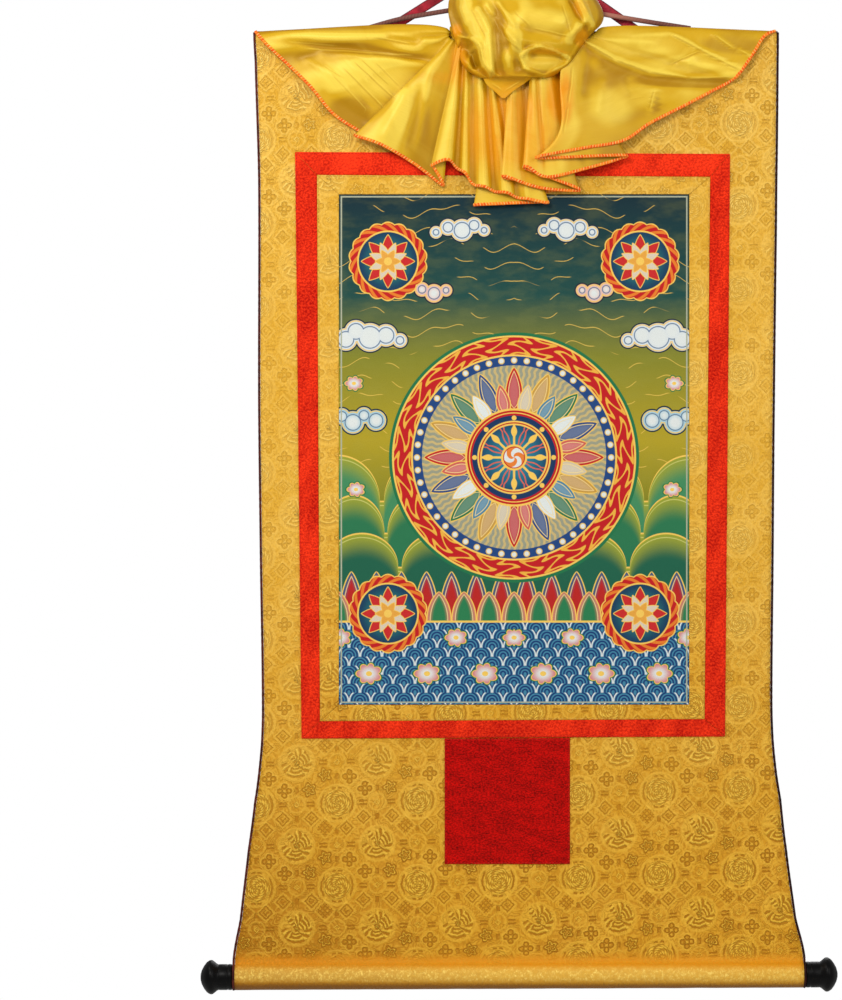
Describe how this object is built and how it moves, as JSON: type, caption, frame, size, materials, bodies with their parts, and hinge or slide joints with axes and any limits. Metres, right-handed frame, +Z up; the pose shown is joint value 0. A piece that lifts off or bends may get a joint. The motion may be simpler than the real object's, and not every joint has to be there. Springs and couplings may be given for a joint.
{
  "type": "thangka scroll painting with top lath and bottom roller",
  "caption": "Hanging scroll of gold brocade with a framed picture, a gathered yellow satin veil at the top, cord and ribbon to hang it by and a cloth-covered roller with turned knobs below",
  "frame": {"origin": "the point where the ribbon rests on its hook, above the scroll", "axes": "+Z up along the scroll's length, -Y towards the viewer out of the picture, +X to the viewer's right"},
  "size_m": [0.6366, 0.0676, 1.05],
  "materials": {
    "gold_brocade": "tone on tone woven brocade, soft sheen",
    "dark_piping": "matt dark sewn edge",
    "red_damask": "matt red damask",
    "deep_red_damask": "matt deep red damask",
    "printed_cloth": "printed cloth with gold lines",
    "yellow_satin": "glossy satin",
    "dark_wood": "dark stain",
    "plain_wood": "plain",
    "black_lacquer": "black gloss lacquer",
    "brown_cord": "twisted cord",
    "crimson_ribbon": "woven ribbon"
  },
  "bodies": {
    "root": {"brocade_mount": "gold_brocade", "piping_left": "dark_piping", "piping_right": "dark_piping", "red_frame_top": "red_damask", "red_frame_right": "red_damask", "red_frame_bottom": "red_damask", "red_frame_left": "red_damask", "gold_border_top": "gold_brocade", "gold_border_right": "gold_brocade", "gold_border_bottom": "gold_brocade", "gold_border_left": "gold_brocade", "picture_panel": "printed_cloth", "door": "deep_red_damask", "top_lath": "dark_wood", "bottom_stick": "plain_wood", "knob_left": "black_lacquer", "knob_right": "black_lacquer", "veil": "yellow_satin", "hanging_cord": "brown_cord", "hanging_ribbon": "crimson_ribbon"}
  },
  "joints": []
}
